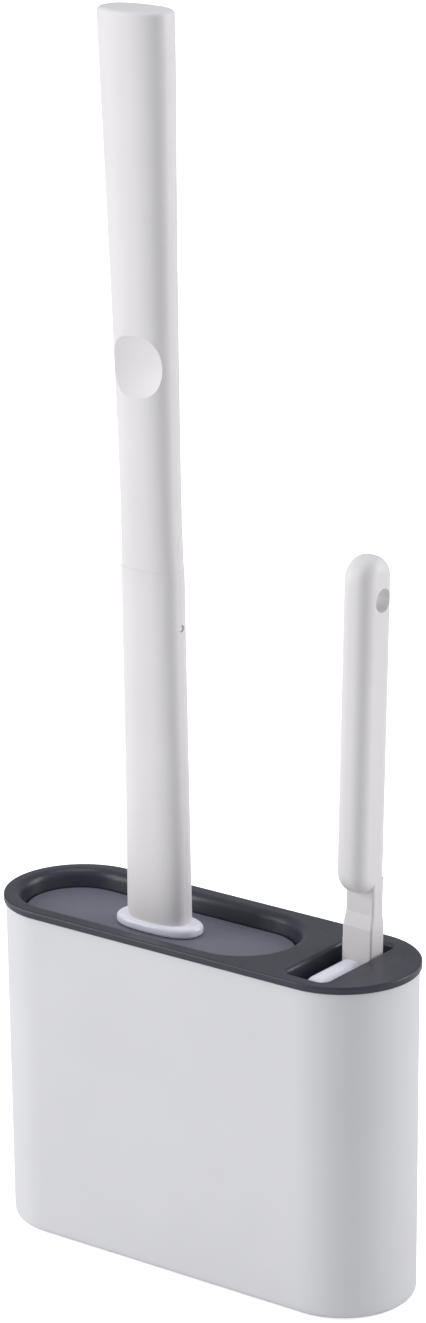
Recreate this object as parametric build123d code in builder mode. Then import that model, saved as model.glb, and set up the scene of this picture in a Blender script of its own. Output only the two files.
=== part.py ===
from build123d import *
import math
import os

# Slim free-standing toilet brush holder: an oval case with a drop-in collar, a tall main brush
# with a soft paddle head, and a small gap brush that stands in its own pocket.
# Millimetres. +X is the length, the gap brush is at the +X end, -Y is the front and +Z is up.
# The origin is on the floor, under the middle of the case.

os.makedirs("parts", exist_ok=True)

# Case
collar_length = 150.0
collar_depth = 48.6
holder_height = 111.0
case_inset = 0.7            # the collar stands out this far past the case, all round
case_draft = 0.36           # degrees, narrower towards the floor
case_wall = 2.2
case_floor = 2.4
case_bottom_radius = 2.6
case_inner_radius = 1.5

# Feet
foot_radius = 5.0
foot_thickness = 1.8
foot_proud = 0.8
foot_spacing_x = 104.0
foot_spacing_y = 21.0
foot_clearance = 0.1

# Drip tray
tray_clearance = 0.8
tray_thickness = 1.2
tray_rim = 4.0
tray_rib_height = 3.0
tray_rib_width = 2.0
tray_rib_count = 7
tray_rib_pitch = 17.0

# Collar
collar_band = 2.4
collar_edge_radius = 0.6
skirt_drop = 12.0
skirt_wall = 1.8
skirt_clearance = 0.3
recess_x = -19.35
recess_length = 99.2        # of the pocket round the cover plate
recess_width = 34.2
recess_flare = 1.2          # the wall leans out this far from the plate to the top
recess_edge_radius = 2.8
well_wall = 2.2
ledge_thickness = 2.0
ledge_width = 3.0

# Gap brush slot and its drop-in pocket
slot_x = 50.3
slot_y = -0.75
slot_length_x = 15.0
slot_length_y = 37.5
slot_corner_radius = 2.6
slot_edge_radius = 1.2
slot_wall = 1.6
slot_step = 0.9             # shelf that the pocket's flange sits on
slot_step_drop = 13.0
pocket_clearance = 0.2
pocket_wall = 1.0
pocket_flange = 1.2
pocket_depth = 42.0         # below the shelf in the slot
pocket_inner_radius = 0.5
drain_hole_radius = 1.6

# Cover plate and neck of the main brush
plate_drop = 5.4            # top of the plate below the collar's top
plate_thickness = 3.0
plate_clearance = 0.5
plate_edge_radius = 0.8
neck_flange_length = 30.8
neck_flange_width = 14.8
neck_flange_height = 3.4
neck_flange_radius = 1.6
neck_flange_foot_radius = 1.0
neck_stub_length = 22.0
neck_stub_width = 8.0
neck_stub_drop = 9.0
neck_spigot_height = 26.0
neck_clearance = 0.1
core_length = 44.0
core_thickness = 4.0
core_depth = 62.0

# Main handle
handle_squareness = 2.5    # 2 is an ellipse, more is nearer a rectangle
handle_outline_points = 24
handle_wall = 2.2
shaft_length = 114.0        # from the flange to the seam
grip_length = 171.0         # from the seam to the top
seam_step = 0.15            # the lower tube stands this far past the grip at the seam
seam_half_length = 10.5
seam_half_width = 6.1
seam_drift = 0.95
handle_x = -19.1
# Sections as (share of the way up, half length, half width, drift of the centre towards -X)
shaft_shape = [
    (0.0, 11.25, 6.0, 0.0),
    (0.5, 10.85, 6.05, 0.35),
    (1.0, seam_half_length + seam_step, seam_half_width + seam_step, seam_drift),
]
grip_shape = [
    (0.0, seam_half_length, seam_half_width, seam_drift),
    (0.19, 10.2, 6.3, 1.55),
    (0.39, 10.65, 6.6, 2.3),
    (0.6, 11.3, 6.85, 3.1),
    (0.8, 12.1, 7.15, 3.8),
    (1.0, 12.65, 7.5, 4.6),
]
grip_top_radius = 1.4
grip_spigot_length = 28.0
grip_plug_height = 6.0
spigot_clearance = 0.2
snap_drop = 18.0            # below the seam
snap_hole_radius = 1.1
snap_nub_radius = 0.9
snap_nub_depth = 0.4        # below the tube's face
thumb_rise = 63.6           # above the seam
thumb_offset_x = 0.9
thumb_floor_y = -3.6
thumb_sweep_radius = 60.5   # across the handle
thumb_dish_radius = 17.0    # along the handle

# Soft paddle head
head_end_clearance = 4.6    # to the opening in the recess, at each end
head_side_clearance = 2.1
head_height = 83.0
head_drop = 8.0             # top of the paddle below the plate's top
head_bottom_radius = 24.0
head_top_radius = 12.0
head_edge_radius = 8.0

# Gap brush
gap_head_side_clearance = 1.3    # to the inside of the pocket
gap_head_front_clearance = 1.9
gap_head_back_clearance = 3.5
gap_head_drop = 2.4         # top of the bar below the collar's top
gap_head_height = 15.0
gap_head_nose_radius = 4.0
gap_head_edge_radius = 3.0
gap_bristle_side_inset = 0.7
gap_bristle_inset = 1.6
gap_bristle_radius = 2.5
gap_floor_clearance = 0.3
stem_side_clearance = 0.5   # to the +X side of the slot
stem_lean = 1.6             # degrees, towards +X
stem_foot_width = 11.0
stem_foot_depth = 6.9
stem_foot_height = 13.4
stem_foot_seat = 2.5        # depth of the foot's seat in the head
stem_flare_height = 4.5
stem_back_inset = 0.4       # from the back of the foot
stem_width = 10.4
stem_depth = 5.4
stem_corner_radius = 0.8
stem_tongue_drop = 8.0
stem_tongue_margin = 1.3
gap_grip_rise = 20.0        # foot of the grip above the collar's top
gap_grip_length = 107.0
gap_grip_depth = 13.0
gap_front_radius = 4.4
gap_back_trim = 2.0         # the rounded grip is cut flat this far in from its back
hang_hole_radius = 3.7
hang_hole_drop = 13.5       # below the top of the grip
hang_hole_inset = 4.5       # from the flat back

# Worked out from the values above
case_bottom_z = foot_proud
case_top_z = holder_height - collar_band
case_top_length = collar_length - 2 * case_inset
case_top_depth = collar_depth - 2 * case_inset
case_floor_z = case_bottom_z + case_floor
skirt_bottom_z = case_top_z - skirt_drop
plate_top_z = holder_height - plate_drop
plate_bottom_z = plate_top_z - plate_thickness
ledge_bottom_z = plate_bottom_z - ledge_thickness
plate_length = recess_length - 2 * plate_clearance
plate_width = recess_width - 2 * plate_clearance
way_length = recess_length - 2 * ledge_width
way_width = recess_width - 2 * ledge_width
flange_top_z = plate_top_z + neck_flange_height
neck_x = handle_x
seam_height = flange_top_z + shaft_length
handle_height = seam_height + grip_length
snap_height = seam_height - snap_drop
thumb_height = seam_height + thumb_rise
head_length = way_length - 2 * head_end_clearance
head_thickness = way_width - 2 * head_side_clearance
head_top_z = plate_top_z - head_drop
head_bottom_z = head_top_z - head_height

step_z = holder_height - slot_step_drop
pocket_floor_z = step_z - pocket_depth
pocket_length_x = slot_length_x - 2 * slot_step - 2 * pocket_clearance
pocket_length_y = slot_length_y - 2 * slot_step - 2 * pocket_clearance
pocket_radius = slot_corner_radius - slot_step - pocket_clearance
pocket_inner_x = pocket_length_x - 2 * pocket_wall
pocket_inner_y = pocket_length_y - 2 * pocket_wall

gap_head_x = slot_x
gap_head_width = pocket_inner_x - 2 * gap_head_side_clearance
gap_head_front_y = slot_y - pocket_inner_y / 2 + gap_head_front_clearance
gap_head_top_z = holder_height - gap_head_drop
gap_head_bottom_z = gap_head_top_z - gap_head_height
gap_bristle_width = gap_head_width - 2 * gap_bristle_side_inset
bristle_bottom_z = pocket_floor_z + pocket_wall + gap_floor_clearance
stem_base_z = gap_head_top_z - stem_foot_seat
stem_x = slot_x + slot_length_x / 2 - stem_side_clearance - stem_foot_width / 2
stem_foot_back_y = slot_y + pocket_inner_y / 2 - gap_head_back_clearance
stem_foot_y = stem_foot_back_y - stem_foot_depth / 2
stem_back_y = stem_foot_back_y - stem_back_inset
stem_y = stem_back_y - stem_depth / 2
gap_grip_bottom_z = holder_height + gap_grip_rise
gap_grip_top_z = gap_grip_bottom_z + gap_grip_length
hang_hole_z = gap_grip_top_z - hang_hole_drop
hang_hole_y = stem_back_y - hang_hole_inset


def shrink_below_top(z):
    """How much shorter and narrower the case is at height z than at its top."""
    return 2 * (case_top_z - z) * math.tan(math.radians(case_draft))


def oval(half_length, half_width):
    """Squarish oval face, used by the main handle and its flange."""
    power = 2 / handle_squareness
    points = []
    for step in range(handle_outline_points):
        angle = 2 * math.pi * step / handle_outline_points
        c, s = math.cos(angle), math.sin(angle)
        x = math.copysign(abs(c) ** power, c) * half_length
        y = math.copysign(abs(s) ** power, s) * half_width
        points.append((x, y))
    with BuildLine() as outline:
        Spline(points, periodic=True)
    return make_face(outline.edges())


def sections_between(shape, low_z, high_z):
    """The sections of a shape as (height, half length, half width, centre x)."""
    span = high_z - low_z
    return [(low_z + share * span, a, b, handle_x - drift) for share, a, b, drift in shape]


def section_at(sections, z):
    """Half length, half width and centre x at height z, between the listed sections."""
    for low, high in zip(sections, sections[1:]):
        if z <= high[0]:
            share = (z - low[0]) / (high[0] - low[0])
            return [a + share * (b - a) for a, b in zip(low[1:], high[1:])]
    return list(sections[-1][1:])


shaft_sections = sections_between(shaft_shape, flange_top_z, seam_height)
grip_sections = sections_between(grip_shape, seam_height, handle_height)

# Holder
with BuildPart() as holder_case:
    base_shrink = shrink_below_top(case_bottom_z)
    with BuildSketch(Plane.XY.offset(case_bottom_z)):
        SlotOverall(case_top_length - base_shrink, case_top_depth - base_shrink)
    with BuildSketch(Plane.XY.offset(case_top_z)):
        SlotOverall(case_top_length, case_top_depth)
    loft()
    fillet(holder_case.edges().group_by(Axis.Z)[0], case_bottom_radius)
    floor_shrink = shrink_below_top(case_floor_z) + 2 * case_wall
    with BuildSketch(Plane.XY.offset(case_floor_z)):
        SlotOverall(case_top_length - floor_shrink, case_top_depth - floor_shrink)
    with BuildSketch(Plane.XY.offset(case_top_z)):
        SlotOverall(case_top_length - 2 * case_wall, case_top_depth - 2 * case_wall)
    loft(mode=Mode.SUBTRACT)
    floor_face = holder_case.faces().filter_by(Plane.XY).sort_by(Axis.Z)[1]
    fillet(floor_face.edges(), case_inner_radius)
    with BuildSketch(Plane.XY.offset(case_bottom_z)):
        with GridLocations(foot_spacing_x, foot_spacing_y, 2, 2):
            Circle(foot_radius + foot_clearance)
    extrude(amount=foot_thickness - foot_proud, mode=Mode.SUBTRACT)
holder_case.part.label = "holder_case"
export_step(holder_case.part, "parts/holder_case.step")

with BuildPart() as rubber_feet:
    with BuildSketch(Plane.XY):
        with GridLocations(foot_spacing_x, foot_spacing_y, 2, 2):
            Circle(foot_radius)
    extrude(amount=foot_thickness)
    fillet(rubber_feet.edges().group_by(Axis.Z)[0], foot_proud / 2)
rubber_feet.part.label = "rubber_feet"
export_step(rubber_feet.part, "parts/rubber_feet.step")

with BuildPart() as drip_tray:
    tray_shrink = shrink_below_top(case_floor_z) + 2 * (case_wall + tray_clearance + case_inner_radius)
    tray_length = case_top_length - tray_shrink
    tray_depth = case_top_depth - tray_shrink
    with BuildSketch(Plane.XY.offset(case_floor_z)):
        SlotOverall(tray_length, tray_depth)
    extrude(amount=tray_rim)
    with BuildSketch(Plane.XY.offset(case_floor_z + tray_thickness)):
        SlotOverall(tray_length - 2 * tray_thickness, tray_depth - 2 * tray_thickness)
    extrude(amount=tray_rim, mode=Mode.SUBTRACT)
    with BuildSketch(Plane.XY.offset(case_floor_z + tray_thickness)):
        with GridLocations(tray_rib_pitch, 0, tray_rib_count, 1):
            SlotOverall(tray_depth - 4 * tray_thickness, tray_rib_width, rotation=90)
    extrude(amount=tray_rib_height)
drip_tray.part.label = "drip_tray"
export_step(drip_tray.part, "parts/drip_tray.step")

# Collar pieces
with BuildPart() as top_collar:
    with BuildSketch(Plane.XY.offset(case_top_z)):
        SlotOverall(collar_length, collar_depth)
    extrude(amount=collar_band)
    fillet(top_collar.edges().group_by(Axis.Z)[-1], collar_edge_radius)
    fillet(top_collar.edges().group_by(Axis.Z)[0], collar_edge_radius / 2)

    skirt_length = case_top_length - 2 * (case_wall + skirt_clearance)
    skirt_depth = case_top_depth - 2 * (case_wall + skirt_clearance)
    skirt_shrink = shrink_below_top(skirt_bottom_z)
    with BuildSketch(Plane.XY.offset(case_top_z)):
        SlotOverall(skirt_length, skirt_depth)
    with BuildSketch(Plane.XY.offset(skirt_bottom_z)):
        SlotOverall(skirt_length - skirt_shrink, skirt_depth - skirt_shrink)
    loft()

    # The skirt is hollow from below, round the recess well and the slot well.
    with BuildSketch(Plane.XY.offset(skirt_bottom_z)):
        SlotOverall(skirt_length - 2 * skirt_wall, skirt_depth - 2 * skirt_wall)
        with Locations((recess_x, 0)):
            SlotOverall(
                recess_length + 2 * (recess_flare + well_wall),
                recess_width + 2 * (recess_flare + well_wall),
                mode=Mode.SUBTRACT,
            )
        with Locations((slot_x, slot_y)):
            RectangleRounded(
                slot_length_x + 2 * slot_wall,
                slot_length_y + 2 * slot_wall,
                slot_corner_radius + slot_wall,
                mode=Mode.SUBTRACT,
            )
    extrude(amount=skirt_drop, mode=Mode.SUBTRACT)

    # Recess: a pocket for the cover plate, with a ledge that the brush head passes through.
    with BuildSketch(Plane.XY.offset(plate_bottom_z)):
        with Locations((recess_x, 0)):
            SlotOverall(recess_length, recess_width)
    extrude(amount=plate_thickness, mode=Mode.SUBTRACT)
    for z, flare in ((plate_top_z, 0), (holder_height, recess_flare)):
        with BuildSketch(Plane.XY.offset(z)):
            with Locations((recess_x, 0)):
                SlotOverall(recess_length + 2 * flare, recess_width + 2 * flare)
    loft(mode=Mode.SUBTRACT)
    with BuildSketch(Plane.XY.offset(skirt_bottom_z)):
        with Locations((recess_x, 0)):
            SlotOverall(way_length, way_width)
    extrude(amount=plate_bottom_z - skirt_bottom_z, mode=Mode.SUBTRACT)
    with BuildSketch(Plane.XY.offset(skirt_bottom_z)):
        with Locations((recess_x, 0)):
            SlotOverall(recess_length, recess_width)
    extrude(amount=ledge_bottom_z - skirt_bottom_z, mode=Mode.SUBTRACT)

    # Slot: a shelf near the bottom carries the flange of the pocket.
    with BuildSketch(Plane.XY.offset(step_z)):
        with Locations((slot_x, slot_y)):
            RectangleRounded(slot_length_x, slot_length_y, slot_corner_radius)
    extrude(amount=holder_height - step_z, mode=Mode.SUBTRACT)
    with BuildSketch(Plane.XY.offset(skirt_bottom_z)):
        with Locations((slot_x, slot_y)):
            RectangleRounded(
                slot_length_x - 2 * slot_step,
                slot_length_y - 2 * slot_step,
                slot_corner_radius - slot_step,
            )
    extrude(amount=step_z - skirt_bottom_z, mode=Mode.SUBTRACT)

    # The recess is the opening nearer -X, the slot is the one nearer +X.
    for which, radius in ((0, recess_edge_radius), (-1, slot_edge_radius)):
        top_face = top_collar.faces().filter_by(Plane.XY).sort_by(Axis.Z)[-1]
        opening = top_face.inner_wires().sort_by(Axis.X)[which]
        fillet(opening.edges(), radius)
top_collar.part.label = "top_collar"
export_step(top_collar.part, "parts/top_collar.step")

with BuildPart() as brush_pocket:
    with BuildSketch(Plane.XY.offset(pocket_floor_z)):
        with Locations((slot_x, slot_y)):
            RectangleRounded(pocket_length_x, pocket_length_y, pocket_radius)
    extrude(amount=step_z - pocket_floor_z)
    with BuildSketch(Plane.XY.offset(step_z)):
        with Locations((slot_x, slot_y)):
            RectangleRounded(
                slot_length_x - 2 * pocket_clearance,
                slot_length_y - 2 * pocket_clearance,
                slot_corner_radius - pocket_clearance,
            )
    extrude(amount=pocket_flange)
    with BuildSketch(Plane.XY.offset(pocket_floor_z + pocket_wall)):
        with Locations((slot_x, slot_y)):
            RectangleRounded(pocket_inner_x, pocket_inner_y, pocket_inner_radius)
    extrude(amount=holder_height - pocket_floor_z, mode=Mode.SUBTRACT)
    with BuildSketch(Plane.XY.offset(pocket_floor_z)):
        with Locations((slot_x, slot_y)):
            with GridLocations(0, pocket_length_y / 4, 1, 3):
                Circle(drain_hole_radius)
    extrude(amount=pocket_wall, mode=Mode.SUBTRACT)
brush_pocket.part.label = "brush_pocket"
export_step(brush_pocket.part, "parts/brush_pocket.step")

# Main brush
with BuildPart() as cover_plate:
    with BuildSketch(Plane.XY.offset(plate_bottom_z)):
        with Locations((recess_x, 0)):
            SlotOverall(plate_length, plate_width)
        with Locations((neck_x, 0)):
            RectangleRounded(
                neck_stub_length + 2 * neck_clearance,
                neck_stub_width + 2 * neck_clearance,
                neck_stub_width / 2,
                mode=Mode.SUBTRACT,
            )
    extrude(amount=plate_thickness)
    top_face = cover_plate.faces().filter_by(Plane.XY).sort_by(Axis.Z)[-1]
    fillet(top_face.outer_wire().edges(), plate_edge_radius)
cover_plate.part.label = "cover_plate"
export_step(cover_plate.part, "parts/cover_plate.step")

with BuildPart() as brush_neck:
    with BuildSketch(Plane((neck_x, 0, plate_top_z))):
        oval(neck_flange_length / 2, neck_flange_width / 2)
    extrude(amount=neck_flange_height)
    fillet(brush_neck.edges().group_by(Axis.Z)[-1], neck_flange_radius)
    fillet(brush_neck.edges().group_by(Axis.Z)[0], neck_flange_foot_radius)
    spigot_inset = handle_wall + spigot_clearance
    for z in (flange_top_z, flange_top_z + neck_spigot_height):
        half_length, half_width, centre = section_at(shaft_sections, z)
        with BuildSketch(Plane((centre, 0, z))):
            oval(half_length - spigot_inset, half_width - spigot_inset)
    loft()
    with BuildSketch(Plane((neck_x, 0, plate_top_z))):
        RectangleRounded(neck_stub_length, neck_stub_width, neck_stub_width / 2 - neck_clearance)
    extrude(amount=-neck_stub_drop)
    with BuildSketch(Plane((neck_x, 0, plate_top_z - neck_stub_drop))):
        RectangleRounded(core_length, core_thickness, core_thickness / 2 - neck_clearance)
    extrude(amount=-core_depth)
brush_neck.part.label = "brush_neck"
export_step(brush_neck.part, "parts/brush_neck.step")

with BuildPart() as main_shaft:
    for z, half_length, half_width, centre in shaft_sections:
        with BuildSketch(Plane((centre, 0, z))):
            oval(half_length, half_width)
    loft()
    for z, half_length, half_width, centre in shaft_sections:
        with BuildSketch(Plane((centre, 0, z))):
            oval(half_length - handle_wall, half_width - handle_wall)
    loft(mode=Mode.SUBTRACT)
    with BuildSketch(Plane.YZ.offset(section_at(shaft_sections, snap_height)[2])):
        with Locations((0, snap_height)):
            Circle(snap_hole_radius)
    extrude(amount=2 * shaft_sections[0][1], mode=Mode.SUBTRACT)
main_shaft.part.label = "main_shaft"
export_step(main_shaft.part, "parts/main_shaft.step")

with BuildPart() as main_grip:
    for z, half_length, half_width, centre in grip_sections:
        with BuildSketch(Plane((centre, 0, z))):
            oval(half_length, half_width)
    loft()
    fillet(main_grip.edges().group_by(Axis.Z)[-1], grip_top_radius)
    thumb_x = section_at(grip_sections, thumb_height)[2] + thumb_offset_x
    with Locations((thumb_x, thumb_floor_y - thumb_sweep_radius, thumb_height)):
        Torus(thumb_sweep_radius - thumb_dish_radius, thumb_dish_radius, mode=Mode.SUBTRACT)
    # The grip is solid round the thumb dish and hollow below it.
    hollow_start = seam_height + grip_plug_height
    hollow_end = thumb_height - thumb_dish_radius
    for z in (hollow_start, (hollow_start + hollow_end) / 2, hollow_end):
        half_length, half_width, centre = section_at(grip_sections, z)
        with BuildSketch(Plane((centre, 0, z))):
            oval(half_length - handle_wall, half_width - handle_wall)
    loft(mode=Mode.SUBTRACT)
    # Spigot down into the lower tube, with a snap nub that shows in the tube's hole.
    spigot_inset = handle_wall + spigot_clearance
    for z in (seam_height - grip_spigot_length, seam_height):
        half_length, half_width, centre = section_at(shaft_sections, z)
        with BuildSketch(Plane((centre, 0, z))):
            oval(half_length - spigot_inset, half_width - spigot_inset)
    loft()
    half_length, half_width, centre = section_at(shaft_sections, snap_height)
    with BuildSketch(Plane.YZ.offset(centre)):
        with Locations((0, snap_height)):
            Circle(snap_nub_radius)
    extrude(amount=half_length - snap_nub_depth)
main_grip.part.label = "main_grip"
export_step(main_grip.part, "parts/main_grip.step")

with BuildPart() as brush_head:
    with BuildSketch(Plane.XZ.offset(-head_thickness / 2)):
        with Locations((neck_x, (head_top_z + head_bottom_z) / 2)):
            outline = Rectangle(head_length, head_height)
        bottom = outline.vertices().group_by(Axis.Z)[0]
        top = outline.vertices().group_by(Axis.Z)[-1]
        fillet(bottom, head_bottom_radius)
        fillet(top, head_top_radius)
    extrude(amount=head_thickness)
    fillet(brush_head.faces().filter_by(Axis.Y).edges(), head_edge_radius)
    with BuildSketch(Plane((neck_x, 0, head_top_z))):
        RectangleRounded(
            neck_stub_length + 2 * neck_clearance,
            neck_stub_width + 2 * neck_clearance,
            neck_stub_width / 2,
        )
    extrude(amount=plate_top_z - neck_stub_drop - head_top_z, mode=Mode.SUBTRACT)
    with BuildSketch(Plane((neck_x, 0, head_top_z))):
        RectangleRounded(
            core_length + 2 * neck_clearance, core_thickness + 2 * neck_clearance, core_thickness / 2
        )
    core_end_z = plate_top_z - neck_stub_drop - core_depth - neck_clearance
    extrude(amount=core_end_z - head_top_z, mode=Mode.SUBTRACT)
brush_head.part.label = "brush_head"
export_step(brush_head.part, "parts/brush_head.step")

# Small brush for gaps
lean = math.radians(stem_lean)
stem_start = (stem_x, 0, stem_base_z)
across_stem = (math.cos(lean), 0, -math.sin(lean))
side_plane = Plane(stem_start, x_dir=(0, 1, 0), z_dir=across_stem)
up_plane = Plane(stem_start, x_dir=across_stem, z_dir=(math.sin(lean), 0, math.cos(lean)))
stem_front_y = stem_back_y - stem_depth
grip_front_y = stem_back_y - gap_grip_depth
grip_low = gap_grip_bottom_z - stem_base_z
grip_high = gap_grip_top_z - stem_base_z
chin_radius = stem_front_y - grip_front_y
dome_back_y = stem_back_y + gap_back_trim
dome_radius = (dome_back_y - grip_front_y) / 2
dome_y = dome_back_y - dome_radius
flare_top = stem_foot_height + stem_flare_height

with BuildPart() as small_handle:
    with BuildSketch(side_plane):
        with BuildLine():
            Line((stem_front_y, grip_low), (dome_back_y, grip_low))
            Line((dome_back_y, grip_low), (dome_back_y, grip_high - dome_radius))
            RadiusArc((dome_back_y, grip_high - dome_radius), (dome_y, grip_high), -dome_radius)
            RadiusArc((dome_y, grip_high), (grip_front_y, grip_high - dome_radius), -dome_radius)
            Line((grip_front_y, grip_high - dome_radius), (grip_front_y, grip_low + chin_radius))
            RadiusArc((grip_front_y, grip_low + chin_radius), (stem_front_y, grip_low), -chin_radius)
        make_face()
    extrude(amount=stem_width / 2, both=True)
    # Only the long front edges are picked: the rounding runs on over the dome and under the chin.
    side_edges = small_handle.faces().filter_by(Axis(stem_start, across_stem)).edges()
    fillet(side_edges.group_by(Axis.Y)[0], gap_front_radius)
    with BuildSketch(side_plane):
        with Locations((stem_back_y, grip_low)):
            Rectangle(gap_grip_depth, grip_high, align=(Align.MIN, Align.MIN))
    extrude(amount=stem_width, both=True, mode=Mode.SUBTRACT)
    with BuildSketch(up_plane):
        with Locations((0, stem_foot_y)):
            RectangleRounded(stem_foot_width, stem_foot_depth, stem_corner_radius)
    extrude(amount=stem_foot_height)
    with BuildSketch(up_plane.offset(stem_foot_height)):
        with Locations((0, stem_foot_y)):
            RectangleRounded(stem_foot_width, stem_foot_depth, stem_corner_radius)
    with BuildSketch(up_plane.offset(flare_top)):
        with Locations((0, stem_y)):
            RectangleRounded(stem_width, stem_depth, stem_corner_radius)
    loft()
    # The stem runs up behind the rounded chin, flush with the sides of the grip.
    with BuildSketch(up_plane.offset(flare_top)):
        with Locations((0, stem_y)):
            RectangleRounded(stem_width, stem_depth, stem_corner_radius)
    extrude(amount=grip_low + gap_front_radius - flare_top)
    with BuildSketch(Plane.XY.offset(stem_base_z)):
        with Locations((gap_head_x, stem_foot_y)):
            RectangleRounded(
                gap_head_width - 2 * stem_tongue_margin,
                stem_foot_depth - 2 * stem_tongue_margin,
                stem_tongue_margin,
            )
    extrude(amount=-stem_tongue_drop)
    with BuildSketch(side_plane):
        with Locations((hang_hole_y, hang_hole_z - stem_base_z)):
            Circle(hang_hole_radius)
    extrude(amount=stem_width, both=True, mode=Mode.SUBTRACT)
small_handle.part.label = "small_handle"
export_step(small_handle.part, "parts/small_handle.step")

with BuildPart() as small_head:
    with BuildSketch(Plane.XY.offset(gap_head_bottom_z)):
        with Locations((gap_head_x, (stem_foot_back_y + gap_head_front_y) / 2)):
            Rectangle(gap_head_width, stem_foot_back_y - gap_head_front_y)
    extrude(amount=gap_head_height)
    nose = small_head.edges().filter_by(Axis.X).group_by(Axis.Y)[0].sort_by(Axis.Z)[-1]
    fillet(nose, gap_head_nose_radius)
    side_edges = small_head.faces().filter_by(Axis.X).edges()
    square_edges = side_edges.group_by(Axis.Z)[0] + side_edges.group_by(Axis.Y)[-1]
    fillet(side_edges - square_edges, gap_head_edge_radius)
    with BuildSketch(Plane.XY.offset(stem_base_z - neck_clearance)):
        with Locations((stem_x, stem_foot_y)):
            Rectangle(stem_foot_width + 2 * neck_clearance, stem_foot_depth + 2 * neck_clearance)
    extrude(amount=stem_foot_seat + 2 * neck_clearance, mode=Mode.SUBTRACT)
    socket_margin = stem_tongue_margin - neck_clearance
    with BuildSketch(Plane.XY.offset(stem_base_z)):
        with Locations((gap_head_x, stem_foot_y)):
            RectangleRounded(
                gap_head_width - 2 * socket_margin, stem_foot_depth - 2 * socket_margin, socket_margin
            )
    extrude(amount=-stem_tongue_drop - neck_clearance, mode=Mode.SUBTRACT)
small_head.part.label = "small_head"
export_step(small_head.part, "parts/small_head.step")

with BuildPart() as small_bristles:
    bristle_length = stem_foot_back_y - gap_head_front_y - 2 * gap_bristle_inset
    with BuildSketch(Plane.XY.offset(bristle_bottom_z)):
        with Locations((gap_head_x, (stem_foot_back_y + gap_head_front_y) / 2)):
            RectangleRounded(gap_bristle_width, bristle_length, gap_bristle_radius)
    extrude(amount=gap_head_bottom_z - bristle_bottom_z)
small_bristles.part.label = "small_bristles"
export_step(small_bristles.part, "parts/small_bristles.step")
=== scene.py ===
import math

import bmesh
import bpy
from mathutils import Matrix, Vector


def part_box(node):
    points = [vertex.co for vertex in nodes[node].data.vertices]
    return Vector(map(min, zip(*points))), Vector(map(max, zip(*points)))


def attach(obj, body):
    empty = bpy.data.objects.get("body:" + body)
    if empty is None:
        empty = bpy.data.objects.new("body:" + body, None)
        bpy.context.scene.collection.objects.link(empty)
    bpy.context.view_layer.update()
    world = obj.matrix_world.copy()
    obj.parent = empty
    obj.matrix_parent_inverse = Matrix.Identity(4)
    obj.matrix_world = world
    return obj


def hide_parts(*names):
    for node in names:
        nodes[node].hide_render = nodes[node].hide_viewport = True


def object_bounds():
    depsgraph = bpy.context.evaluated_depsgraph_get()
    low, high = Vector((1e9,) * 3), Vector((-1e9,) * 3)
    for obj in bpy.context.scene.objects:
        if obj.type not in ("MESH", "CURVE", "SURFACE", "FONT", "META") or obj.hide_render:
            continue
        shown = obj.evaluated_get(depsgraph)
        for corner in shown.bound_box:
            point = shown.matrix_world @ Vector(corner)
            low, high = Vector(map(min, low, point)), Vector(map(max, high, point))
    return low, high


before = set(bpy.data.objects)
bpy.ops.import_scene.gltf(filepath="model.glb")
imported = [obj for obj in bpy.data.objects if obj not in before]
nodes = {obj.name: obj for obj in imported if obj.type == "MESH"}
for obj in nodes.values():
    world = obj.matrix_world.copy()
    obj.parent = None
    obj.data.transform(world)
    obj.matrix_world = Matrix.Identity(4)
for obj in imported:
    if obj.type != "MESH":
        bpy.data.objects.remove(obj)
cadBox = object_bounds()
mm = 0.001

print("stage 1: frame loaded")

cameraSetup = {
    "azimuth": 36.97,        # degrees round from the front towards the gap brush
    "elevation": 17.77,
    "roll": 0.54,
    "distance": 1.40425,
    "lens": 125.71,
    "sensor": 36.0,
    "aimOffset": (0.0026, 0.0, -0.0003),   # from the middle of the whole object
}

lightSetup = {
    # name: (azimuth, elevation, distance, width, height, watts, colour), in degrees and metres
    "keyLeft": (-51, 15, 1.65, 0.95, 1.4, 17.0, (1.0, 0.995, 0.99)),
    "rimRight": (133, 15, 1.7, 0.6, 1.4, 13.0, (1.0, 0.995, 0.995)),
    "overhead": (0, 89, 1.8, 1.2, 1.2, 8.5, (0.88, 0.9, 1.0)),
}

stageSetup = {
    "floorSize": 12.0,
    "floorColor": (0.9, 0.9, 0.905, 1),
    "floorRough": 0.9,
    "floorSpecular": 0.1,
    "skyForLight": 0.45,
    "skyColor": (0.97, 0.98, 1.0, 1),
    "glowNear": 0.78,        # the floor's own brightness to the camera, under the object
    "glowFar": 1.05,         # and further out, so the backdrop reads as white paper
    "glowReach": (0.12, 0.9),   # metres from the middle, where each of the two brightnesses holds
}


def directionFrom(azimuth, elevation):
    a, e = math.radians(azimuth), math.radians(elevation)
    return Vector((math.sin(a) * math.cos(e), -math.cos(a) * math.cos(e), math.sin(e)))


def aimPoint():
    low, high = Vector(cadBox[0]), Vector(cadBox[1])
    return (low + high) / 2


def makeCamera(setup):
    # Looks back along one direction. The picture is rolled by turning its right and up directions.
    data = bpy.data.cameras.new("camera")
    data.sensor_fit = "VERTICAL"
    data.sensor_height = setup["sensor"]
    data.lens = setup["lens"]
    data.clip_start = 0.05
    camera = bpy.data.objects.new("camera", data)
    azimuth = math.radians(setup["azimuth"])
    back = directionFrom(setup["azimuth"], setup["elevation"])
    right = Vector((math.cos(azimuth), math.sin(azimuth), 0))
    up = back.cross(right)
    turn = math.radians(setup["roll"])
    rolledRight = right * math.cos(turn) - up * math.sin(turn)
    rolledUp = right * math.sin(turn) + up * math.cos(turn)
    matrix = Matrix((rolledRight, rolledUp, back)).transposed().to_4x4()
    matrix.translation = aimPoint() + Vector(setup["aimOffset"]) + back * setup["distance"]
    camera.matrix_world = matrix
    bpy.context.scene.collection.objects.link(camera)
    bpy.context.scene.camera = camera


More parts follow.
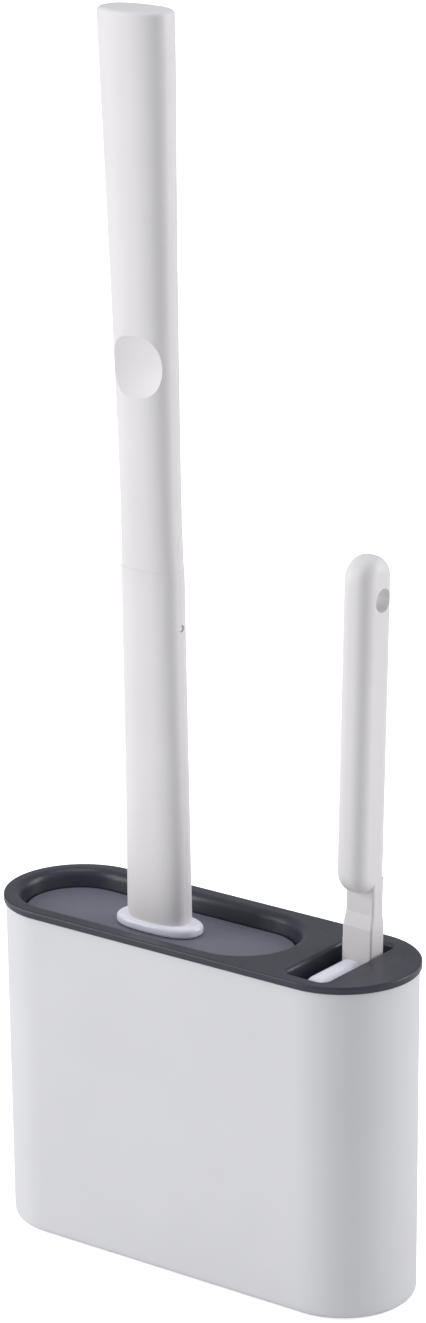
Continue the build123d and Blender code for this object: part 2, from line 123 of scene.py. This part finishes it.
def makeLight(name, azimuth, elevation, distance, width, height, watts, colour):
    data = bpy.data.lights.new(name, "AREA")
    data.shape = "RECTANGLE"
    data.size, data.size_y = width, height
    data.energy = watts
    data.color = colour
    light = bpy.data.objects.new(name, data)
    away = directionFrom(azimuth, elevation)
    light.location = aimPoint() + away * distance
    light.rotation_euler = away.to_track_quat("Z", "Y").to_euler()
    bpy.context.scene.collection.objects.link(light)


def makeSky(setup):
    # The camera sees a white backdrop, while the object is lit by a dimmer, even sky.
    world = bpy.data.worlds.new("studio")
    bpy.context.scene.world = world
    world.use_nodes = True
    tree = world.node_tree
    tree.nodes.clear()
    out = tree.nodes.new("ShaderNodeOutputWorld")
    mix = tree.nodes.new("ShaderNodeMixShader")
    path = tree.nodes.new("ShaderNodeLightPath")
    soft = tree.nodes.new("ShaderNodeBackground")
    white = tree.nodes.new("ShaderNodeBackground")
    soft.inputs["Color"].default_value = setup["skyColor"]
    soft.inputs["Strength"].default_value = setup["skyForLight"]
    white.inputs["Color"].default_value = (1, 1, 1, 1)
    tree.links.new(path.outputs["Is Camera Ray"], mix.inputs[0])
    tree.links.new(soft.outputs[0], mix.inputs[1])
    tree.links.new(white.outputs[0], mix.inputs[2])
    tree.links.new(mix.outputs[0], out.inputs[0])


def floorMaterial(setup):
    material = bpy.data.materials.new("studioFloor")
    material.use_nodes = True
    tree = material.node_tree
    shader = tree.nodes["Principled BSDF"]
    shader.inputs["Base Color"].default_value = setup["floorColor"]
    shader.inputs["Roughness"].default_value = setup["floorRough"]
    shader.inputs["Specular IOR Level"].default_value = setup["floorSpecular"]
    shader.inputs["Emission Color"].default_value = (1, 1, 1, 1)
    place = tree.nodes.new("ShaderNodeTexCoord")
    radius = tree.nodes.new("ShaderNodeVectorMath")
    radius.operation = "LENGTH"
    glow = tree.nodes.new("ShaderNodeMapRange")
    near, far = setup["glowReach"]
    glow.inputs["From Min"].default_value = near
    glow.inputs["From Max"].default_value = far
    glow.inputs["To Min"].default_value = setup["glowNear"]
    glow.inputs["To Max"].default_value = setup["glowFar"]
    path = tree.nodes.new("ShaderNodeLightPath")
    seen = tree.nodes.new("ShaderNodeMath")
    seen.operation = "MULTIPLY"
    tree.links.new(place.outputs["Object"], radius.inputs[0])
    tree.links.new(radius.outputs["Value"], glow.inputs["Value"])
    tree.links.new(glow.outputs["Result"], seen.inputs[0])
    tree.links.new(path.outputs["Is Camera Ray"], seen.inputs[1])
    tree.links.new(seen.outputs[0], shader.inputs["Emission Strength"])
    return material


def makeFloor(setup):
    mesh = bpy.data.meshes.new("floor")
    half = setup["floorSize"] / 2
    z = cadBox[0][2]
    corners = [(-half, -half, z), (half, -half, z), (half, half, z), (-half, half, z)]
    mesh.from_pydata(corners, [], [(0, 1, 2, 3)])
    floor = bpy.data.objects.new("floor", mesh)
    bpy.context.scene.collection.objects.link(floor)
    mesh.materials.append(floorMaterial(setup))


makeCamera(cameraSetup)
for lightName, values in lightSetup.items():
    makeLight(lightName, *values)
makeSky(stageSetup)
makeFloor(stageSetup)
bpy.context.scene.view_settings.view_transform = "Standard"

print("stage 2: camera, light and floor")

plastics = {
    # Colours are linear. tint is the second colour of the faint mottling, grain and grainSize are in mm,
    # scuff is how much rougher the rubbed streaks are, sheen is for soft rubber.
    "caseWhite": {
        "color": (0.72, 0.72, 0.74), "tint": (0.7, 0.7, 0.722), "rough": 0.45,
        "grain": 0.05, "grainSize": 0.35, "scuff": 0.05, "sheen": 0.0, "specular": 0.4,
    },
    "collarGrey": {
        "color": (0.032, 0.032, 0.05), "tint": (0.028, 0.028, 0.045), "rough": 0.36,
        "grain": 0.04, "grainSize": 0.3, "scuff": 0.08, "sheen": 0.0, "specular": 0.5,
    },
    "plateGrey": {
        "color": (0.165, 0.165, 0.21), "tint": (0.15, 0.15, 0.192), "rough": 0.42,
        "grain": 0.05, "grainSize": 0.4, "scuff": 0.08, "sheen": 0.0, "specular": 0.4,
    },
    "innerGrey": {
        "color": (0.035, 0.035, 0.043), "tint": (0.03, 0.03, 0.037), "rough": 0.5,
        "grain": 0.05, "grainSize": 0.4, "scuff": 0.1, "sheen": 0.0, "specular": 0.3,
    },
    "handleWhite": {
        "color": (0.79, 0.77, 0.778), "tint": (0.765, 0.745, 0.753), "rough": 0.42,
        "grain": 0.04, "grainSize": 0.3, "scuff": 0.06, "sheen": 0.0, "specular": 0.4,
    },
    "glossWhite": {
        "color": (0.88, 0.88, 0.97), "tint": (0.86, 0.86, 0.955), "rough": 0.22,
        "grain": 0.01, "grainSize": 0.9, "scuff": 0.04, "sheen": 0.0, "specular": 0.5,
    },
    "softHead": {
        "color": (0.2, 0.2, 0.235), "tint": (0.18, 0.18, 0.215), "rough": 0.6,
        "grain": 0.03, "grainSize": 0.25, "scuff": 0.05, "sheen": 0.25, "specular": 0.3,
    },
    "footRubber": {
        "color": (0.05, 0.05, 0.055), "tint": (0.04, 0.04, 0.045), "rough": 0.75,
        "grain": 0.08, "grainSize": 0.3, "scuff": 0.1, "sheen": 0.15, "specular": 0.3,
    },
    "nylonWhite": {
        "color": (0.78, 0.79, 0.81), "tint": (0.72, 0.73, 0.76), "rough": 0.3,
        "grain": 0.0, "grainSize": 0.3, "scuff": 0.0, "sheen": 0.0, "specular": 0.5,
    },
}


surfaceDetail = {
    "cloudScale": 26.0,           # noise per metre, faint patches in the colour
    "cloudSpan": (0.35, 0.65),
    "glossScale": 90.0,           # patches in the gloss
    "glossSpan": (0.3, 0.7),
    "glossSwing": 0.07,           # share of the roughness
    "streakScale": 700.0,         # rubbed streaks, drawn out along the height
    "streakStretch": (1, 1, 0.06),
    "streakSpan": (0.58, 0.72),
    "grainStrength": 0.3,
}


def noiseOn(tree, place, scale, detail, stretch=(1, 1, 1)):
    noise = tree.nodes.new("ShaderNodeTexNoise")
    noise.inputs["Scale"].default_value = scale
    noise.inputs["Detail"].default_value = detail
    mapping = tree.nodes.new("ShaderNodeMapping")
    mapping.inputs["Scale"].default_value = stretch
    tree.links.new(place.outputs["Object"], mapping.inputs["Vector"])
    tree.links.new(mapping.outputs["Vector"], noise.inputs["Vector"])
    return noise.outputs["Fac"]


def mapped(tree, value, fromMin, fromMax, toMin, toMax):
    node = tree.nodes.new("ShaderNodeMapRange")
    node.inputs["From Min"].default_value = fromMin
    node.inputs["From Max"].default_value = fromMax
    node.inputs["To Min"].default_value = toMin
    node.inputs["To Max"].default_value = toMax
    tree.links.new(value, node.inputs["Value"])
    return node.outputs["Result"]


def plasticMaterial(name, values):
    # Moulded plastic: faint mottling, uneven gloss with long rubbed streaks, fine spark-eroded grain.
    material = bpy.data.materials.new(name)
    material.use_nodes = True
    tree = material.node_tree
    shader = tree.nodes["Principled BSDF"]
    shader.inputs["Specular IOR Level"].default_value = values["specular"]
    shader.inputs["Sheen Weight"].default_value = values["sheen"]
    place = tree.nodes.new("ShaderNodeTexCoord")

    colour = tree.nodes.new("ShaderNodeMix")
    colour.data_type = "RGBA"
    colour.inputs["A"].default_value = (*values["color"], 1)
    colour.inputs["B"].default_value = (*values["tint"], 1)
    patches = noiseOn(tree, place, surfaceDetail["cloudScale"], 4.0)
    clouds = mapped(tree, patches, *surfaceDetail["cloudSpan"], 0.0, 1.0)
    tree.links.new(clouds, colour.inputs["Factor"])
    tree.links.new(colour.outputs["Result"], shader.inputs["Base Color"])

    unevenGloss = noiseOn(tree, place, surfaceDetail["glossScale"], 3.0)
    swing = surfaceDetail["glossSwing"]
    lowRough = values["rough"] * (1 - swing)
    highRough = values["rough"] * (1 + swing)
    base = mapped(tree, unevenGloss, *surfaceDetail["glossSpan"], lowRough, highRough)
    rubbed = noiseOn(tree, place, surfaceDetail["streakScale"], 2.0, surfaceDetail["streakStretch"])
    streaks = mapped(tree, rubbed, *surfaceDetail["streakSpan"], 0.0, values["scuff"])
    gloss = tree.nodes.new("ShaderNodeMath")
    gloss.operation = "ADD"
    tree.links.new(base, gloss.inputs[0])
    tree.links.new(streaks, gloss.inputs[1])
    tree.links.new(gloss.outputs[0], shader.inputs["Roughness"])

    if values["grain"] > 0:
        bump = tree.nodes.new("ShaderNodeBump")
        bump.inputs["Strength"].default_value = surfaceDetail["grainStrength"]
        bump.inputs["Distance"].default_value = values["grain"] * mm
        grain = noiseOn(tree, place, 1.0 / (values["grainSize"] * mm), 2.0)
        tree.links.new(grain, bump.inputs["Height"])
        tree.links.new(bump.outputs["Normal"], shader.inputs["Normal"])
    return material


materials = {name: plasticMaterial(name, values) for name, values in plastics.items()}

finishOfNode = {
    "holder_case": "caseWhite",
    "rubber_feet": "footRubber",
    "drip_tray": "innerGrey",
    "top_collar": "collarGrey",
    "brush_pocket": "innerGrey",
    "cover_plate": "plateGrey",
    "brush_neck": "glossWhite",
    "main_shaft": "handleWhite",
    "main_grip": "handleWhite",
    "small_handle": "handleWhite",
    "small_head": "glossWhite",
}

for nodeName, finish in finishOfNode.items():
    mesh = nodes[nodeName].data
    mesh.materials.clear()
    mesh.materials.append(materials[finish])

print("stage 3: plastics and rubbers")


def addNode(tree, kind, values=None, **settings):
    node = tree.nodes.new(kind)
    for name, value in settings.items():
        setattr(node, name, value)
    for name, value in (values or {}).items():
        if isinstance(value, bpy.types.NodeSocket):
            tree.links.new(value, node.inputs[name])
        else:
            node.inputs[name].default_value = value
    return node


def newTree(name, sizes):
    # A Geometry Nodes tree with one named input for each size. Whole numbers become integer inputs.
    tree = bpy.data.node_groups.new(name, "GeometryNodeTree")
    tree.interface.new_socket("Geometry", in_out="OUTPUT", socket_type="NodeSocketGeometry")
    tree.interface.new_socket("Geometry", in_out="INPUT", socket_type="NodeSocketGeometry")
    for label, value in sizes.items():
        kind = "NodeSocketInt" if isinstance(value, int) else "NodeSocketFloat"
        tree.interface.new_socket(label, in_out="INPUT", socket_type=kind)
    return tree, tree.nodes.new("NodeGroupInput").outputs, tree.nodes.new("NodeGroupOutput").inputs


def finishTree(tree, geometry, finish, result):
    real = addNode(tree, "GeometryNodeRealizeInstances", {"Geometry": geometry})
    finished = addNode(tree, "GeometryNodeSetMaterial", {
        "Geometry": real.outputs[0], "Material": materials[finish],
    })
    tree.links.new(finished.outputs[0], result["Geometry"])


def growPiece(name, startMesh, tree, sizes):
    # Runs the tree on the start mesh and keeps the result as a plain mesh.
    grower = bpy.data.objects.new(name + "Grower", startMesh)
    bpy.context.scene.collection.objects.link(grower)
    modifier = grower.modifiers.new("grow", "NODES")
    modifier.node_group = tree
    for socket in tree.interface.items_tree:
        if socket.item_type == "SOCKET" and socket.in_out == "INPUT" and socket.name in sizes:
            modifier[socket.identifier] = sizes[socket.name]
    graph = bpy.context.evaluated_depsgraph_get()
    mesh = bpy.data.meshes.new_from_object(grower.evaluated_get(graph))
    grower.modifiers.clear()
    bpy.data.objects.remove(grower)
    piece = bpy.data.objects.new(name, mesh)
    bpy.context.scene.collection.objects.link(piece)
    return piece


def mathOn(tree, operation, first, second=0.0):
    node = tree.nodes.new("ShaderNodeMath")
    node.operation = operation
    for socket, value in zip(node.inputs, (first, second)):
        if isinstance(value, bpy.types.NodeSocket):
            tree.links.new(value, socket)
        else:
            socket.default_value = value
    return node.outputs[0]


def xyz(tree, x=0.0, y=0.0, z=0.0):
    return addNode(tree, "ShaderNodeCombineXYZ", {"X": x, "Y": y, "Z": z}).outputs[0]


def partsOf(tree, vector):
    return addNode(tree, "ShaderNodeSeparateXYZ", {"Vector": vector}).outputs


def pointPosition(tree):
    return addNode(tree, "GeometryNodeInputPosition").outputs[0]


def vectorSum(tree, first, second):
    node = addNode(tree, "ShaderNodeVectorMath", operation="ADD")
    tree.links.new(first, node.inputs[0])
    node.inputs[1].default_value = second
    return node.outputs[0]


def scaledVector(tree, vector, factor):
    node = addNode(tree, "ShaderNodeVectorMath", {"Scale": factor}, operation="SCALE")
    tree.links.new(vector, node.inputs[0])
    return node.outputs[0]


def randomNumber(tree, low, high, seed):
    # Sockets 2 and 3, and output 1, are the ones for decimal numbers.
    node = addNode(tree, "FunctionNodeRandomValue", {"Seed": seed}, data_type="FLOAT")
    node.inputs[2].default_value = low
    node.inputs[3].default_value = high
    return node.outputs[1]


paddle = {
    "bodyThickness": 9.0,
    "bodyEdge": 4.2,          # rounding of the rim of the body
    "cornerBottom": 17.0,
    "cornerTop": 8.0,
    "margin": 7.6,            # body to the outside of the CAD head, all round
    "bossLength": 31.0,
    "bossWidth": 14.0,
    "bossHeight": 8.5,
    "bossRoot": 3.0,          # sunk into the body
    "bossFlare": 1.2,
    "bossSquareness": 0.7,    # 1 is an ellipse, less is nearer a rectangle
    "bristleLength": 7.3,
    "bristleRadius": 1.05,
    "bristlePitch": 4.5,
    "bristleSides": 8,
    "rimPitch": 4.6,
    "rimAngles": (-38, 0, 38),   # degrees towards the back
    "rimGap": 20.0,           # no bristles this near the middle of the top
    "flatness": 0.97,         # face bristles grow where it is at least this flat, the boss too
    "shortest": 0.94,         # share of the full length, random
    "tilt": 2.0,              # degrees, random
    "seed": 11,
}


def roundedOutline(halfLength, low, high, cornerLow, cornerHigh, middle, steps=10):
    # Points of a rounded rectangle in X and Z, starting at the lower right, anticlockwise.
    corners = [
        (middle + halfLength - cornerLow, low + cornerLow, cornerLow, -90),
        (middle + halfLength - cornerHigh, high - cornerHigh, cornerHigh, 0),
        (middle - halfLength + cornerHigh, high - cornerHigh, cornerHigh, 90),
        (middle - halfLength + cornerLow, low + cornerLow, cornerLow, 180),
    ]
    points = []
    for x, z, radius, start in corners:
        for step in range(steps + 1):
            angle = math.radians(start + 90 * step / steps)
            points.append((x + radius * math.cos(angle), z + radius * math.sin(angle)))
    return points


def addShell(mesh, rings):
    # Rings of equal length joined by quads, with both ends closed.
    loops = [[mesh.verts.new(point) for point in ring] for ring in rings]
    count = len(loops[0])
    for near, far in zip(loops, loops[1:]):
        for i in range(count):
            j = (i + 1) % count
            mesh.faces.new((near[i], near[j], far[j], far[i]))
    mesh.faces.new(list(reversed(loops[0])))
    mesh.faces.new(loops[-1])


def paddleBody(values):
    low, high = [Vector(corner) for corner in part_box("brush_head")]
    middle = (low.x + high.x) / 2
    margin = values["margin"] * mm
    edge = values["bodyEdge"] * mm
    flat = values["bodyThickness"] * mm / 2 - edge
    halfLength = (high.x - low.x) / 2 - margin
    mesh = bmesh.new()
    rings = []
    for step in range(-6, 7):
        angle = math.radians(15 * step)
        inset = edge * (1 - math.cos(angle))
        y = math.copysign(flat, step) + edge * math.sin(angle) if step else 0.0
        outline = roundedOutline(
            halfLength - inset, low.z + margin + inset, high.z - margin - inset,
            values["cornerBottom"] * mm - inset, values["cornerTop"] * mm - inset, middle,
        )
        rings.append([(x, y, z) for x, z in outline])
    addShell(mesh, rings)

    # Boss round the neck: its foot sinks into the body, its top is rounded over.
    boss = []
    foot = values["bossHeight"]
    flare = values["bossFlare"]
    squareness = values["bossSquareness"]
    # (drop below the top of the head, inset), in mm, from the foot up
    profile = [(foot + values["bossRoot"], -flare), (foot, -flare / 2), (1.2, 0.0), (0.35, 0.35), (0.1, 1.2)]
    for drop, inset in profile:
        halfX = (values["bossLength"] / 2 - inset) * mm
        halfY = (values["bossWidth"] / 2 - inset) * mm
        ring = []
        for step in range(40):
            angle = 2 * math.pi * step / 40
            x = math.copysign(abs(math.cos(angle)) ** squareness, math.cos(angle)) * halfX
            y = math.copysign(abs(math.sin(angle)) ** squareness, math.sin(angle)) * halfY
            ring.append((middle + x, y, high.z - drop * mm))
        boss.append(ring)
    addShell(mesh, boss)
    bmesh.ops.recalc_face_normals(mesh, faces=mesh.faces)
    for face in mesh.faces:
        face.smooth = True
    body = bpy.data.meshes.new("paddleBody")
    mesh.to_mesh(body)
    mesh.free()
    body.set_sharp_from_angle(angle=math.radians(40))
    return body


rootSink = 0.4 * mm
tipShare = 0.12               # of the radius, at the tip of a bristle or a filament


def taperedBristle(tree, length, radius, sides, taper):
    # One bristle along Z: a tube that tapers by the shares in taper, with its root sunk a little.
    line = addNode(tree, "GeometryNodeCurvePrimitiveLine", {
        "Start": (0, 0, -rootSink), "End": xyz(tree, z=length),
    })
    points = addNode(tree, "GeometryNodeResampleCurve", {"Curve": line.outputs[0], "Count": 7})
    along = addNode(tree, "GeometryNodeSplineParameter").outputs["Factor"]
    curve = addNode(tree, "ShaderNodeFloatCurve", {"Value": along})
    profile = curve.mapping.curves[0]
    profile.points[0].location = (0.0, 1.0)
    profile.points[1].location = (1.0, tipShare)
    for place in taper:
        profile.points.new(*place)
    curve.mapping.update()
    ring = addNode(tree, "GeometryNodeCurvePrimitiveCircle", {"Resolution": sides, "Radius": radius})
    tube = addNode(tree, "GeometryNodeCurveToMesh", {
        "Curve": points.outputs[0], "Profile Curve": ring.outputs[0],
        "Scale": curve.outputs[0], "Fill Caps": True,
    })
    return addNode(tree, "GeometryNodeSetShadeSmooth", {"Geometry": tube.outputs[0]}).outputs[0]


def bristleField(tree, points, shape, rotation, seed, values):
    # One bristle on each point, each tilted and shortened a little by chance.
    tilt = math.radians(values["tilt"])
    wobble = addNode(tree, "FunctionNodeRandomValue", {"Seed": seed}, data_type="FLOAT_VECTOR")
    wobble.inputs["Min"].default_value = (-tilt, -tilt, 0)
    wobble.inputs["Max"].default_value = (tilt, tilt, 0)
    leaned = addNode(tree, "FunctionNodeRotateRotation", {"Rotation": rotation}, rotation_space="LOCAL")
    tree.links.new(wobble.outputs["Value"], leaned.inputs["Rotate By"])
    reach = randomNumber(tree, values["shortest"], 1.0, seed + 1)
    return addNode(tree, "GeometryNodeInstanceOnPoints", {
        "Points": points, "Instance": shape, "Rotation": leaned.outputs[0],
        "Scale": xyz(tree, 1.0, 1.0, reach),
    }).outputs[0]


def paddleTree(values):
    low, high = [Vector(corner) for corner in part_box("brush_head")]
    middle = (low + high) / 2
    pitch = values["bristlePitch"] * mm
    margin = values["margin"] * mm
    sizes = {
        "Bristle Length": values["bristleLength"] * mm,
        "Bristle Radius": values["bristleRadius"] * mm,
        "Pitch": pitch,
        "Rim Pitch": values["rimPitch"] * mm,
        "Sides": values["bristleSides"],
    }
    tree, size, result = newTree("paddleBristles", sizes)
    taper = [(0.5, 0.8), (0.82, 0.66), (0.93, 0.5)]
    shape = taperedBristle(tree, size["Bristle Length"], size["Bristle Radius"], size["Sides"], taper)
    fields = [size["Geometry"]]

    # Front and back: a staggered grid of points is dropped on the flat of the body.
    columns = int((high.x - low.x - 2 * margin) / pitch) + 1
    rows = int((high.z - low.z - 2 * margin) / pitch) + 1
    for turn, seed in ((1, values["seed"]), (-1, values["seed"] + 20)):
        grid = addNode(tree, "GeometryNodeMeshGrid", {
            "Size X": mathOn(tree, "MULTIPLY", size["Pitch"], columns - 1),
            "Size Y": mathOn(tree, "MULTIPLY", size["Pitch"], rows - 1),
            "Vertices X": columns, "Vertices Y": rows,
        })
        index = addNode(tree, "GeometryNodeInputIndex").outputs[0]
        column = mathOn(tree, "FLOOR", mathOn(tree, "DIVIDE", index, rows))
        odd = mathOn(tree, "SUBTRACT", mathOn(tree, "MODULO", column, 2.0), 0.5)
        shift = mathOn(tree, "MULTIPLY", mathOn(tree, "MULTIPLY", odd, 0.5), size["Pitch"])
        staggered = addNode(tree, "GeometryNodeSetPosition", {
            "Geometry": grid.outputs["Mesh"], "Offset": xyz(tree, y=shift),
        })
        upright = addNode(tree, "GeometryNodeTransform", {
            "Geometry": staggered.outputs[0],
            "Translation": (middle.x, -turn * 30 * mm, middle.z),
            "Rotation": (math.radians(90), 0, 0),
        })
        cloud = addNode(tree, "GeometryNodeMeshToPoints", {"Mesh": upright.outputs[0]})
        ray = addNode(tree, "GeometryNodeRaycast", {
            "Target Geometry": size["Geometry"], "Ray Direction": (0, turn, 0), "Ray Length": 100 * mm,
        })
        towards = mathOn(tree, "MULTIPLY", partsOf(tree, ray.outputs["Hit Normal"])["Y"], -turn)
        facing = mathOn(tree, "MULTIPLY", towards, ray.outputs["Is Hit"])
        miss = addNode(tree, "FunctionNodeCompare", data_type="FLOAT", operation="LESS_THAN")
        tree.links.new(facing, miss.inputs[0])
        miss.inputs[1].default_value = values["flatness"]
        kept = addNode(tree, "GeometryNodeDeleteGeometry", {
            "Geometry": cloud.outputs[0], "Selection": miss.outputs[0],
        }, domain="POINT")
        placed = addNode(tree, "GeometryNodeSetPosition", {
            "Geometry": kept.outputs[0], "Position": ray.outputs["Hit Position"],
        })
        outward = addNode(tree, "FunctionNodeEulerToRotation", {"Euler": (math.radians(90) * turn, 0, 0)})
        fields.append(bristleField(tree, placed.outputs[0], shape, outward.outputs[0], seed, values))

    # Rim: rows along the outline of the body, leaning in three directions. They grow inwards, so
    # the body hides most of each one and only the roots and some tips show.
    edge = values["bodyEdge"] * mm
    outline = addNode(tree, "GeometryNodeCurvePrimitiveQuadrilateral", {
        "Width": high.x - low.x - 2 * margin, "Height": high.z - low.z - 2 * margin,
    })
    isTop = mathOn(tree, "GREATER_THAN", partsOf(tree, pointPosition(tree))["Y"], 0.0)
    cornerStep = (values["cornerTop"] - values["cornerBottom"]) * mm
    corner = mathOn(tree, "ADD", mathOn(tree, "MULTIPLY", isTop, cornerStep), values["cornerBottom"] * mm)
    rounded = addNode(tree, "GeometryNodeFilletCurve", {
        "Curve": outline.outputs[0], "Count": 10, "Radius": corner,
    }, mode="POLY")
    upright = addNode(tree, "GeometryNodeTransform", {
        "Geometry": rounded.outputs[0],
        "Translation": (middle.x, 0, middle.z),
        "Rotation": (math.radians(90), 0, 0),
    })
    spaced = addNode(tree, "GeometryNodeCurveToPoints", {
        "Curve": upright.outputs[0], "Length": size["Rim Pitch"],
    }, mode="LENGTH")
    for number, degrees in enumerate(values["rimAngles"]):
        angle = math.radians(degrees)
        inward = addNode(tree, "ShaderNodeVectorMath", operation="CROSS_PRODUCT")
        tree.links.new(spaced.outputs["Tangent"], inward.inputs[0])
        inward.inputs[1].default_value = (0, 1, 0)
        growth = scaledVector(tree, inward.outputs[0], math.cos(angle))
        lean = vectorSum(tree, growth, (0, math.sin(angle), 0))
        nudge = scaledVector(tree, inward.outputs[0], -edge * (1 - math.cos(angle)))
        shift = vectorSum(tree, nudge, (0, edge * math.sin(angle), 0))
        turned = addNode(tree, "FunctionNodeAlignRotationToVector", {"Vector": lean}, axis="Z")
        row = addNode(tree, "GeometryNodeSetPosition", {"Geometry": spaced.outputs[0], "Offset": shift})
        spot = partsOf(tree, pointPosition(tree))
        atTop = mathOn(tree, "GREATER_THAN", spot["Z"], high.z - margin - edge)
        offMiddle = mathOn(tree, "ABSOLUTE", mathOn(tree, "SUBTRACT", spot["X"], middle.x))
        nearBoss = mathOn(tree, "LESS_THAN", offMiddle, values["rimGap"] * mm)
        clear = addNode(tree, "GeometryNodeDeleteGeometry", {
            "Geometry": row.outputs[0], "Selection": mathOn(tree, "MULTIPLY", atTop, nearBoss),
        }, domain="POINT")
        seed = values["seed"] + 40 + 2 * number
        fields.append(bristleField(tree, clear.outputs[0], shape, turned.outputs[0], seed, values))

    joined = tree.nodes.new("GeometryNodeJoinGeometry")
    for field in reversed(fields):
        tree.links.new(field, joined.inputs[0])
    finishTree(tree, joined.outputs[0], "softHead", result)
    return tree, sizes


paddlePiece = growPiece("soft_paddle", paddleBody(paddle), *paddleTree(paddle))
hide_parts("brush_head")
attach(paddlePiece, "main_brush")

print("stage 4: soft paddle,", len(paddlePiece.data.polygons), "faces")

tufts = {
    "across": 3,
    "along": 9,
    "perTuft": 22,
    "trim": (0.985, 0.998),   # share of the full length, random
    "tuftRadius": 0.8,
    "edgeMargin": 1.35,       # middle of the outer tufts to the side of the CAD block
    "filamentRadius": 0.14,
    "sides": 5,
    "rootDepth": 0.6,         # inside the head
    "splay": 0.55,            # how much wider the tuft is at its tips
    "bend": 0.3,              # sideways, at the tip
    "seed": 7,
}


def tuftTree(values):
    low, high = [Vector(corner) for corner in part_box("small_bristles")]
    middle = (low + high) / 2
    margin = values["edgeMargin"] * mm
    sizes = {
        "Filament Length": high.z - low.z + values["rootDepth"] * mm,
        "Filament Radius": values["filamentRadius"] * mm,
        "Tuft Radius": values["tuftRadius"] * mm,
        "Filaments": values["perTuft"],
        "Sides": values["sides"],
    }
    tree, size, result = newTree("nylonTufts", sizes)
    taper = [(0.9, 0.95)]
    filament = taperedBristle(tree, size["Filament Length"], size["Filament Radius"], size["Sides"], taper)
    share = mathOn(tree, "DIVIDE", partsOf(tree, pointPosition(tree))["Z"], size["Filament Length"])
    curl = mathOn(tree, "MULTIPLY", mathOn(tree, "MULTIPLY", share, share), values["bend"] * mm)
    bent = addNode(tree, "GeometryNodeSetPosition", {"Geometry": filament, "Offset": xyz(tree, x=curl)})

    holes = addNode(tree, "GeometryNodeMeshGrid", {
        "Size X": high.x - low.x - 2 * margin, "Size Y": high.y - low.y - 2 * margin,
        "Vertices X": values["across"], "Vertices Y": values["along"],
    })
    top = high.z + values["rootDepth"] * mm
    lifted = addNode(tree, "GeometryNodeTransform", {
        "Geometry": holes.outputs["Mesh"], "Translation": (middle.x, middle.y, top),
    })
    spots = addNode(tree, "GeometryNodeMeshToPoints", {"Mesh": lifted.outputs[0]})
    many = addNode(tree, "GeometryNodeDuplicateElements", {
        "Geometry": spots.outputs[0], "Amount": size["Filaments"],
    }, domain="POINT")
    turn = randomNumber(tree, 0.0, 2 * math.pi, values["seed"])
    spread = randomNumber(tree, 0.0, 1.0, values["seed"] + 1)
    radius = mathOn(tree, "MULTIPLY", mathOn(tree, "SQRT", spread), size["Tuft Radius"])
    offX = mathOn(tree, "MULTIPLY", mathOn(tree, "COSINE", turn), radius)
    offY = mathOn(tree, "MULTIPLY", mathOn(tree, "SINE", turn), radius)
    placed = addNode(tree, "GeometryNodeSetPosition", {
        "Geometry": many.outputs[0], "Offset": xyz(tree, offX, offY),
    })
    leanX = mathOn(tree, "MULTIPLY", offX, values["splay"])
    leanY = mathOn(tree, "MULTIPLY", offY, values["splay"])
    down = mathOn(tree, "MULTIPLY", size["Filament Length"], -1.0)
    lean = xyz(tree, leanX, leanY, down)
    aim = addNode(tree, "FunctionNodeAlignRotationToVector", {"Vector": lean}, axis="Z")
    trim = randomNumber(tree, *values["trim"], values["seed"] + 2)
    grown = addNode(tree, "GeometryNodeInstanceOnPoints", {
        "Points": placed.outputs[0], "Instance": bent.outputs[0], "Rotation": aim.outputs[0],
        "Scale": xyz(tree, 1.0, 1.0, trim),
    })
    finishTree(tree, grown.outputs[0], "nylonWhite", result)
    return tree, sizes


tuftPiece = growPiece("nylon_tufts", bpy.data.meshes.new("tuftStart"), *tuftTree(tufts))
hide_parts("small_bristles")
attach(tuftPiece, "small_brush")

print("stage 5: nylon tufts,", len(tuftPiece.data.polygons), "faces")
